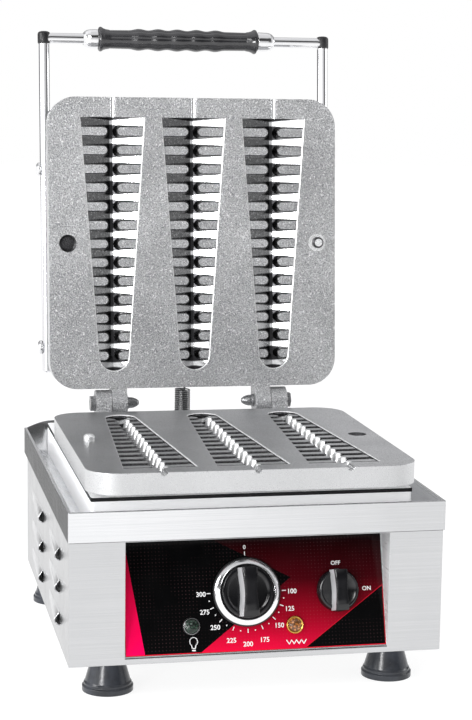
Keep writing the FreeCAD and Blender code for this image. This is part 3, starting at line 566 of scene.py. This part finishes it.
INK_BLACK = ink("film_black", [(0.0, (0.0012, 0.0012, 0.0014)), (1.0, (0.001, 0.001, 0.0012))],
                dots=0.10)
INK_RED = ink("film_red", [(0.0, (0.80, 0.003, 0.045)), (0.28, (0.36, 0.0015, 0.016)),
                           (0.60, (0.07, 0.0006, 0.004)), (1.0, (0.002, 0.0003, 0.0005))], dots=0.10,
              x_stops=[(0.0, (0, 0, 0)), (0.55, (0, 0, 0)), (1.0, (0.45, 0.45, 0.45))])
INK_WEDGE = ink("film_wedge", [(0.0, (1.0, 0.0, 0.10)), (0.5, (0.86, 0.001, 0.065)),
                               (1.0, (0.30, 0.001, 0.012))], dots=0.0)
INK_LINE = ink("film_line", [(0.0, (0.75, 0.010, 0.030)), (1.0, (0.45, 0.004, 0.020))], dots=0.0)
INK_WHITE = plastic("film_white", (0.86, 0.86, 0.86), 0.30, 0.01)

NODES["fascia_decal"].data.materials.clear()
NODES["fascia_decal"].data.materials.append(INK_BLACK)
HOLES = {"thermo": (-7.3, 46.6), "switch": (69.0, 45.0), "green": (-53.9, 21.0), "amber": (31.8, 18.4)}
FIELD_LIFT, LINE_LIFT, TEXT_LIFT = 0.05, 0.08, 0.10


def print_polygon(name, pts, mat, lift, holes=()):
    """A printed area: triangulated flat shape just above the film, with round gaps for the controls."""
    bm = bmesh.new()
    edges = []
    rings = [pts] + [[(hx + r * math.cos(2 * math.pi * i / 40), hs + r * math.sin(2 * math.pi * i / 40))
                      for i in range(40)] for hx, hs, r in holes]
    for ring in rings:
        vs = [bm.verts.new(on_panel(x, s, lift)) for x, s in ring]
        edges += [bm.edges.new((vs[i], vs[(i + 1) % len(vs)])) for i in range(len(vs))]
    bmesh.ops.triangle_fill(bm, use_beauty=True, use_dissolve=False, edges=edges)
    for f in bm.faces:
        if f.normal.dot(on_panel(0, 0, 1) - PANEL_O) < 0:
            f.normal_flip()
    me = mesh_from(name, bm)
    me.materials.append(mat)
    place_object(name, me, "base")


print_polygon("print_red_field", [(-33.9, 90.1), (30.3, 57.2), (-47.3, -0.8), (39.6, -0.8),
                                  (108.2, 48.0), (108.2, 90.1)],
              INK_RED, FIELD_LIFT, [HOLES["amber"] + (5.2,), HOLES["switch"] + (6.0,)])
print_polygon("print_left_wedge", [(-108.2, 90.1), (-106.4, 90.1), (-92.4, -0.8), (-108.2, -0.8)],
              INK_WEDGE, FIELD_LIFT)


def strip(name, pts, width, mat=INK_WHITE, lift=TEXT_LIFT):
    """A printed line of even width through the given panel points."""
    verts, faces = [], []
    for (x0, s0), (x1, s1) in zip(pts[:-1], pts[1:]):
        d = Vector((x1 - x0, s1 - s0)).normalized() * width / 2
        k = len(verts)
        e = d * 0.7
        for px, ps in ((x0 - e.x + d.y, s0 - e.y - d.x), (x1 + e.x + d.y, s1 + e.y - d.x),
                       (x1 + e.x - d.y, s1 + e.y + d.x), (x0 - e.x - d.y, s0 - e.y + d.x)):
            verts.append(on_panel(px, ps, lift))
        faces.append((k, k + 1, k + 2, k + 3))
    mesh_object(name, verts, faces, mat)


strip("print_edge_diagonal", [(39.6, -0.6), (108.0, 48.2)], 0.5, INK_LINE, LINE_LIFT)
strip("print_edge_bottom", [(-108.0, -0.5), (108.0, -0.5)], 0.7, INK_LINE, LINE_LIFT)
strip("print_edge_left", [(-108.0, -0.5), (-108.0, 90.0)], 0.5, INK_LINE, LINE_LIFT)
strip("print_edge_right", [(108.0, -0.5), (108.0, 48.0)], 0.5, INK_LINE, LINE_LIFT)


def word(name, text, x, s, size, bold):
    """Generic dial lettering as a thin flat mesh on the film."""
    cu = bpy.data.curves.new(name, "FONT")
    cu.body, cu.size, cu.align_x, cu.align_y = text, size, "CENTER", "CENTER"
    cu.offset, cu.resolution_u = bold, 4
    tmp = bpy.data.objects.new(name + "_tmp", cu)
    scene.collection.objects.link(tmp)
    bpy.context.view_layer.update()
    me = bpy.data.meshes.new_from_object(tmp.evaluated_get(bpy.context.evaluated_depsgraph_get()))
    bpy.data.objects.remove(tmp)
    me.name = name
    for v in me.vertices:
        v.co = on_panel(x + v.co.x, s + v.co.y, TEXT_LIFT)
    me.materials.clear()
    me.materials.append(INK_WHITE)
    place_object(name, me, "base")


for txt, x, s in (("100", 30.8, 45.6), ("125", 28.3, 31.5), ("150", 18.9, 18.4), ("175", 6.2, 7.4),
                  ("200", -7.7, 4.5), ("225", -21.3, 8.0), ("250", -34.2, 19.0), ("275", -42.4, 31.6),
                  ("300", -45.0, 46.0)):
    word("print_scale_%s" % txt, txt, x, s, 5.4, 0.10)
word("print_zero", "0", -7.3, 82.9, 4.6, 0.08)
word("print_off", "OFF", 68.9, 67.2, 4.6, 0.12)
word("print_on", "ON", 94.2, 45.4, 4.8, 0.10)
for i in range(17):
    a = -math.pi * i / 16.0
    cx, cs = HOLES["thermo"]
    if i % 2 == 0:
        strip("print_tick_%02d" % i, [(cx + r * math.cos(a), cs + r * math.sin(a)) for r in (30.0, 32.8)],
              0.7)
    else:
        c = (cx + 31.6 * math.cos(a), cs + 31.6 * math.sin(a))
        verts = [on_panel(c[0] + 0.55 * math.cos(t), c[1] + 0.55 * math.sin(t), TEXT_LIFT)
                 for t in [2 * math.pi * j / 12 for j in range(12)]]
        mesh_object("print_dot_%02d" % i, verts, [tuple(range(12))], INK_WHITE)
strip("print_tick_top", [(-7.3, 76.4), (-7.3, 79.2)], 0.7)
# heating symbol and pilot light symbol
strip("print_heat_symbol", [(24.5 + 2.05 * i, 3.0 if i % 2 else 6.2) for i in range(9)], 0.75)
bulb = [(-52.6 + 3.2 * math.cos(t), 8.6 + 3.4 * math.sin(t)) for t in
        [math.radians(-55 + 290 * i / 22.0) for i in range(23)]]
strip("print_bulb", bulb, 0.7)
strip("print_bulb_neck", [(-50.8, 5.8), (-51.4, 3.2), (-53.8, 3.2), (-54.4, 5.8)], 0.7)
strip("print_bulb_cap", [(-53.6, 1.6), (-51.6, 1.6)], 1.2)


# ---------------------------------------------------------------- turned and moulded pieces
def lathe(name, profile, seg, place, mat, body, flute=None, close=True):
    """Turned form from (radius, height) pairs in mm; place maps local (a, b, h) mm to the row frame."""
    verts, faces = [], []
    for i, (r, h) in enumerate(profile):
        for j in range(seg):
            t = 2 * math.pi * j / seg
            rr = r * (flute(t, h, r) if flute else 1.0)
            verts.append(place(rr * math.cos(t), rr * math.sin(t), h))
    for i in range(len(profile) - 1):
        for j in range(seg):
            a, b = i * seg + j, i * seg + (j + 1) % seg
            faces.append((a, b, b + seg, a + seg))
    if close:
        faces.append(tuple(range(seg))[::-1])
        k = (len(profile) - 1) * seg
        faces.append(tuple(range(k, k + seg)))
    ob = mesh_object(name, verts, faces, mat, body)
    bm = bmesh.new()
    bm.from_mesh(ob.data)
    bmesh.ops.recalc_face_normals(bm, faces=bm.faces)
    bm.to_mesh(ob.data)
    bm.free()
    ob.data.shade_smooth()
    ob.data.set_sharp_from_angle(angle=math.radians(38))
    return ob


def panel_place(at):
    return lambda a, b, h: on_panel(at[0] + a, at[1] + b, h)


# hand grip: fluted moulding with five finger swells and a flared collar at each end
GX0, GX1 = -84.0, 69.6
BAR_C = lid_point(0, -57.7, 42.0)
BACK = -UP_N


def grip_place(a, b, h):
    on_bar = Vector((h / 1000.0, 0, 0)) + Vector((0, BAR_C.y, BAR_C.z))
    return on_bar + UP * (a / 1000.0) + BACK * (b / 1000.0)


prof = [(5.1, GX0), (9.6, GX0), (11.2, GX0 + 0.6), (11.7, GX0 + 1.6), (11.5, GX0 + 2.8), (10.4, GX0 + 4.4),
        (9.5, GX0 + 7.0), (9.1, GX0 + 10.0)]
for i in range(1, 150):
    t = i / 150.0
    x = GX0 + 10.0 + (GX1 - GX0 - 20.0) * t
    u = (x - GX0) / (GX1 - GX0)
    k = (u - 0.190) / 0.122
    swell = (0.5 - 0.5 * math.cos(2 * math.pi * k)) if 0.0 < k < 5.0 else 0.0
    prof.append((8.7 + 0.5 * math.sin(math.pi * t) + 1.35 * swell, x))
prof += [(9.1, GX1 - 10.0), (9.5, GX1 - 7.0), (10.4, GX1 - 4.4), (11.5, GX1 - 2.8), (11.7, GX1 - 1.6),
         (11.2, GX1 - 0.6), (9.6, GX1), (5.1, GX1)]


def flutes(t, h, r):
    edge = min(h - GX0 - 7.0, GX1 - 7.0 - h)
    k = max(0.0, min(1.0, edge / 6.0))
    return 1.0 - 0.05 * k * (0.5 + 0.5 * math.cos(8 * t)) ** 4


grip = lathe("hand_grip", prof, 168, grip_place, GRIP, "lid", flutes)
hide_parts("handle_grip")

# moulded cap over each corner of the handle
for side, tag in ((-1, "left"), (1, "right")):
    def cap_place(a, b, h, k=side * CORNER_X):
        return Vector((k + a / 1000.0, BAR_C.y, BAR_C.z)) + BACK * (b / 1000.0) + UP * (h / 1000.0)
    lathe("corner_cap_" + tag, [(5.1, -5.2), (5.7, -5.0), (6.0, -4.0), (6.0, 3.6), (5.6, 5.0), (4.6, 5.9),
                                (3.0, 6.4), (0.0, 6.6)], 48, cap_place, BLACK_DULL, "lid",
          close=False)

# thermostat knob: knurled black skirt, bright ring and domed cap with a hollow sided finger bar
TH = HOLES["thermo"]


def knurl(t, h, r):
    return 1.0 + (0.006 * math.cos(120 * t) if h < 3.4 else 0.0)


lathe("thermostat_skirt", [(22.7, 0.3), (27.6, 0.3), (28.0, 0.8), (28.0, 3.0), (27.3, 3.8), (26.2, 4.2),
                           (22.7, 4.2)], 360, panel_place(TH), BLACK_DULL, "base", knurl)
ring = lathe("thermostat_ring", [(22.2, 2.0), (22.4, 5.9), (22.8, 6.3), (23.3, 6.2), (26.3, 4.5),
                                 (26.9, 3.9), (26.9, 3.0)], 128,
             panel_place(TH), CHROME_TRIM, "base")
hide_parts("thermostat_bezel")


def finger_bar(name, at, length, hw, n0, n1, waist, mat, body):
    """Grip bar across a knob: sides curve in, ends follow the cap, the top is slightly crowned."""
    bm = bmesh.new()
    rows = []
    cols = [-1.0, -0.93, -0.7, -0.35, 0.0, 0.35, 0.7, 0.93, 1.0]
    for i in range(21):
        u = -1 + 2 * i / 20.0
        row = []
        half = hw * (1 - waist * math.cos(u * math.pi / 2) ** 2)
        for c in cols:
            edge = abs(c)
            top = n1 - 2.2 * max(0.0, abs(u) - 0.55) ** 1.6 * 2.2
            top -= 1.2 if edge > 0.97 else 0.25 if edge > 0.8 else 0.0
            top += 0.5 * (1 - c * c)
            row.append(bm.verts.new(on_panel(at[0] + half * c, at[1] + u * length, top)))
        lo = [bm.verts.new(on_panel(at[0] + (half + 1.6) * s, at[1] + u * length, n0)) for s in (-1, 1)]
        rows.append([lo[0]] + row + [lo[1]])
    for a, b in zip(rows[:-1], rows[1:]):
        for j in range(len(a) - 1):
            bm.faces.new((a[j], a[j + 1], b[j + 1], b[j]))
    bm.faces.new(rows[0])
    bm.faces.new(rows[-1][::-1])
    bmesh.ops.recalc_face_normals(bm, faces=bm.faces)
    me = mesh_from(name, bm)
    for mt in (mat, KNOB_HIGHLIGHT, KNOB_DIM_HIGHLIGHT):
        me.materials.append(mt)
    # painted highlight: the bar's left side faces take the bright grey, its right side faces the dimmer grey
    for poly in me.polygons:
        if poly.index < 200 and poly.index % 10 in (0, 9):
            poly.material_index = 1 if poly.index % 10 == 0 else 2
    me.shade_smooth()
    me.set_sharp_from_angle(angle=math.radians(50))
    place_object(name, me, body)


cap = lathe("thermostat_cap", [(0.0, 0.8), (21.4, 0.8), (21.7, 2.0), (21.6, 6.6), (20.9, 7.8), (19.6, 8.2),
                               (17.4, 8.0), (16.4, 7.4), (15.4, 7.3), (8.0, 7.2), (0.0, 7.2)], 128,
            panel_place(TH), BLACK, "thermostat_knob", close=False)
finger_bar("thermostat_bar", TH, 19.6, 6.6, 6.4, 20.6, 0.22, BLACK, "thermostat_knob")
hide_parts("thermostat_knob")

SW = HOLES["switch"]
scap = lathe("switch_cap", [(0.0, 0.8), (17.0, 0.8), (17.7, 1.6), (17.6, 4.2), (16.4, 7.2), (15.2, 8.0),
                            (13.8, 7.8), (12.8, 7.2), (0.0, 7.0)], 128, panel_place(SW), BLACK,
             "switch_knob", close=False)
finger_bar("switch_bar", SW, 16.6, 5.6, 6.2, 17.6, 0.15, BLACK, "switch_knob")
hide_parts("switch_knob")


# pilot lamps: metal ring, faceted domed lens
for key, ring_mat, lens_mat, rr, lr, rim_slot in (
        ("green", CHROME_DARK, GREEN, 7.2, 6.3, "control_plastic"),
        ("amber", BRASS, AMBER, 7.4, 5.6, "lamp_brass")):
    at = HOLES[key]
    lathe(key + "_lamp_rim", [(lr - 0.6, 0.2), (rr, 0.2), (rr, 1.2), (rr - 0.5, 2.3), (rr - 1.0, 2.6),
                              (lr, 2.0), (lr - 0.6, 1.6)], 72, panel_place(at), ring_mat, "base")
    dome = [(lr * math.cos(math.radians(a)), 1.2 + 2.9 * math.sin(math.radians(a))) for a in range(0, 90, 9)]
    glass = lathe(key + "_lamp_dome", [(lr, 0.8)] + dome + [(0.0, 4.1)], 72, panel_place(at), lens_mat,
                  "base", close=False)
    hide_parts(key + "_lamp_lens")

# painted shadow: dark strips standing in for the shadow lines under the tray's skirt and between plinth and
# lower plate
for name, hw, y0, y1, z0, z1 in (("tray_shadow_strip", 154.2, 1.9, 342.7, 130.9, 131.72),
                                 ("plinth_shadow_strip", 133.75, 24.8, 353.7, 158.9, 162.05)):
    verts = [P(x, y, z) for t in (0.0, 0.8) for z in (z0, z1)
             for x, y in ((t - hw, y0 + t), (hw - t, y0 + t), (hw - t, y1 - t), (t - hw, y1 - t))]
    faces = []
    for i in range(4):
        j = (i + 1) % 4
        faces += [(i, j, 4 + j, 4 + i), (12 + i, 12 + j, 8 + j, 8 + i), (4 + i, 4 + j, 12 + j, 12 + i),
                  (8 + i, 8 + j, j, i)]
    mesh_object(name, verts, faces, SHADOW_STRIP)


# ---------------------------------------------------------------- counter spring
def tube_along(name, pts, r, seg, mat):
    verts, faces = [], []
    prev = None
    for i, p in enumerate(pts):
        d = (pts[min(i + 1, len(pts) - 1)] - pts[max(i - 1, 0)]).normalized()
        if prev is None:
            prev = d.orthogonal().normalized()
        side = (prev - d * prev.dot(d)).normalized()
        prev = side
        up = d.cross(side)
        for j in range(seg):
            t = 2 * math.pi * j / seg
            verts.append(p + side * (r * math.cos(t)) + up * (r * math.sin(t)))
    for i in range(len(pts) - 1):
        for j in range(seg):
            a, b = i * seg + j, i * seg + (j + 1) % seg
            faces.append((a, b, b + seg, a + seg))
    faces += [tuple(range(seg))[::-1], tuple(range(len(verts) - seg, len(verts)))]
    me = bpy.data.meshes.new(name)
    me.from_pydata([tuple(v) for v in verts], [], faces)
    me.update()
    me.materials.append(mat)
    me.shade_smooth()
    ob = bpy.data.objects.new(name, me)
    scene.collection.objects.link(ob)
    return ob


turns, z0, z1 = 24, 154.0, 198.5
coil = [P(SPRING_X, SPRING_Y, 146.4 + 4.0), P(SPRING_X, SPRING_Y, z0 - 3.0)]
for i in range(turns * 20 + 1):
    t = i / 20.0
    rr = 7.0 * min(1.0, 0.35 + t * 1.3, 0.35 + (turns - t) * 1.3)
    coil.append(P(SPRING_X + rr * math.cos(2 * math.pi * t), SPRING_Y + rr * math.sin(2 * math.pi * t),
                  z0 + (z1 - z0) * t / turns))
coil += [P(SPRING_X, SPRING_Y, z1 + 2.5), P(SPRING_X, SPRING_Y, 206.0 - 2.5)]
spring = tube_along("counter_coil", coil, 0.00072, 8, SPRING)
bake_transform(spring)
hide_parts("counter_spring")

# ---------------------------------------------------------------- studio
floor_mesh = bpy.data.meshes.new("floor")
floor_mesh.from_pydata([(-9, -9, 0), (9, -9, 0), (9, 9, 0), (-9, 9, 0)], [], [(0, 1, 2, 3)])
floor = bpy.data.objects.new("floor", floor_mesh)
scene.collection.objects.link(floor)
fl = Mat("floor_paint", Roughness=0.9, Emission_Strength=0.84)
shade = fl.mix(fl.noise(3.0), (0.27, 0.27, 0.27), (0.29, 0.29, 0.29))
fl.set("Base Color", shade)
fl.b.inputs["Emission Color"].default_value = (1, 1, 1, 1)
fl.b.inputs["Specular IOR Level"].default_value = 0.0
fl.set("Normal", fl.bump(fl.noise(60.0), 0.02, 0.001))
floor_mesh.materials.append(fl.m)


def area(name, loc, target, size, power):
    li = bpy.data.lights.new(name, "AREA")
    li.shape, li.size, li.size_y, li.energy = "RECTANGLE", size[0], size[1], power
    ob = bpy.data.objects.new(name, li)
    scene.collection.objects.link(ob)
    ob.location = loc
    ob.rotation_mode = "QUATERNION"
    ob.rotation_quaternion = (Vector(target) - Vector(loc)).to_track_quat("-Z", "Y")


area("key_left", (-2.0, -0.7, 1.15), (0, 0, 0.28), (0.9, 1.3), 30)
area("rim_right", (2.0, 0.1, 0.9), (0, 0, 0.3), (0.6, 1.3), 9)
area("strip_front", (-0.75, -2.3, 1.7), (0, 0, 0.25), (0.25, 1.1), 7)
area("low_front", (-1.45, -1.75, 0.55), (0, -0.15, 0.12), (0.5, 0.35), 14)

world = bpy.data.worlds.new("studio")
scene.world = world
world.use_nodes = True
wt = world.node_tree
wt.nodes.clear()


def wn(kind, **props):
    n = wt.nodes.new(kind)
    for k, v in props.items():
        setattr(n, k, v)
    return n


wout = wn("ShaderNodeOutputWorld")
wmix = wn("ShaderNodeMixShader")
lp = wn("ShaderNodeLightPath")
cam_bg = wn("ShaderNodeBackground")
cam_bg.inputs[0].default_value, cam_bg.inputs[1].default_value = (1, 1, 1, 1), 1.0
env = wn("ShaderNodeBackground")
tc = wn("ShaderNodeTexCoord")
sep = wn("ShaderNodeSeparateXYZ")
az = wn("ShaderNodeMath", operation="ARCTAN2")
azr = wn("ShaderNodeMapRange")
wt.links.new(tc.outputs["Generated"], sep.inputs[0])
wt.links.new(sep.outputs[0], az.inputs[0])
back_y = wn("ShaderNodeMath", operation="MULTIPLY")
back_y.inputs[1].default_value = -1.0
wt.links.new(sep.outputs[1], back_y.inputs[0])
wt.links.new(back_y.outputs[0], az.inputs[1])
wt.links.new(az.outputs[0], azr.inputs["Value"])
azr.inputs["From Min"].default_value, azr.inputs["From Max"].default_value = -math.pi, math.pi
# azimuth round the object: 0 and 1 are the back, 0.25 the left, 0.5 the front, 0.75 the right


def colour_ramp(values):
    r = wn("ShaderNodeValToRGB")
    e = r.color_ramp.elements
    while len(e) < len(values):
        e.new(0.5)
    for i, (p, v) in enumerate(values):
        e[i].position, e[i].color = p, (v, v, v * 1.015, 1)
    wt.links.new(azr.outputs["Result"], r.inputs[0])
    return r.outputs[0]


# brightness round the room near the horizon, above it and overhead: windows and dark walls
LOW = [(0.0, 0.30), (0.10, 0.16), (0.165, 0.10), (0.19, 1.35), (0.29, 1.30), (0.305, 0.40), (0.325, 0.40),
       (0.34, 1.50), (0.455, 1.50), (0.485, 0.74), (0.56, 0.64), (0.595, 0.25), (0.665, 0.10), (0.70, 0.85),
       (0.80, 0.85), (0.825, 0.10), (0.90, 0.45), (1.0, 0.50)]
HIGH = [(0.0, 0.55), (0.17, 0.40), (0.20, 1.25), (0.30, 1.25), (0.34, 0.10), (0.50, 0.05), (0.64, 0.08),
        (0.70, 0.60), (0.80, 0.60), (0.85, 0.30), (1.0, 0.55)]
TOP = [(0.0, 0.95), (0.25, 1.1), (0.5, 0.75), (0.75, 0.8), (1.0, 0.95)]


def between(lo, hi, a, b):
    m = wn("ShaderNodeMapRange")
    m.interpolation_type = "SMOOTHSTEP"
    wt.links.new(sep.outputs[2], m.inputs["Value"])
    m.inputs["From Min"].default_value, m.inputs["From Max"].default_value = lo, hi
    x = wn("ShaderNodeMix", data_type="RGBA")
    wt.links.new(m.outputs["Result"], x.inputs[0])
    wt.links.new(a, x.inputs[6])
    wt.links.new(b, x.inputs[7])
    return x.outputs[2]


sky = between(0.18, 0.34, colour_ramp(LOW), colour_ramp(HIGH))
wt.links.new(between(0.62, 0.82, sky, colour_ramp(TOP)), env.inputs[0])
env.inputs[1].default_value = 1.0
wt.links.new(lp.outputs["Is Camera Ray"], wmix.inputs[0])
wt.links.new(env.outputs[0], wmix.inputs[1])
wt.links.new(cam_bg.outputs[0], wmix.inputs[2])
wt.links.new(wmix.outputs[0], wout.inputs[0])
scene.view_settings.view_transform = "Standard"

# ---------------------------------------------------------------- camera
YAW, PITCH, ROLL = (math.radians(a) for a in (11.948, 8.632, 0.854))
fwd = Vector((math.sin(YAW) * math.cos(PITCH), math.cos(YAW) * math.cos(PITCH), -math.sin(PITCH)))
right = Vector((math.cos(YAW), -math.sin(YAW), 0))
upv = right.cross(fwd)
r2 = right * math.cos(ROLL) + upv * math.sin(ROLL)
u2 = upv * math.cos(ROLL) - right * math.sin(ROLL)
cam = bpy.data.cameras.new("camera")
FOCAL, FRAME_HEIGHT, SENSOR = 1846.949, 720.0, 36.0
cam.sensor_width, cam.sensor_fit, cam.lens = SENSOR, "AUTO", FOCAL * SENSOR / FRAME_HEIGHT
cam.clip_start, cam.clip_end = 0.05, 60.0
co = bpy.data.objects.new("camera", cam)
scene.collection.objects.link(co)
rot = Matrix((r2, u2, -fwd)).transposed().to_4x4()
co.matrix_world = Matrix.Translation(P(-320.402, -1408.957, 494.167)) @ rot
scene.camera = co
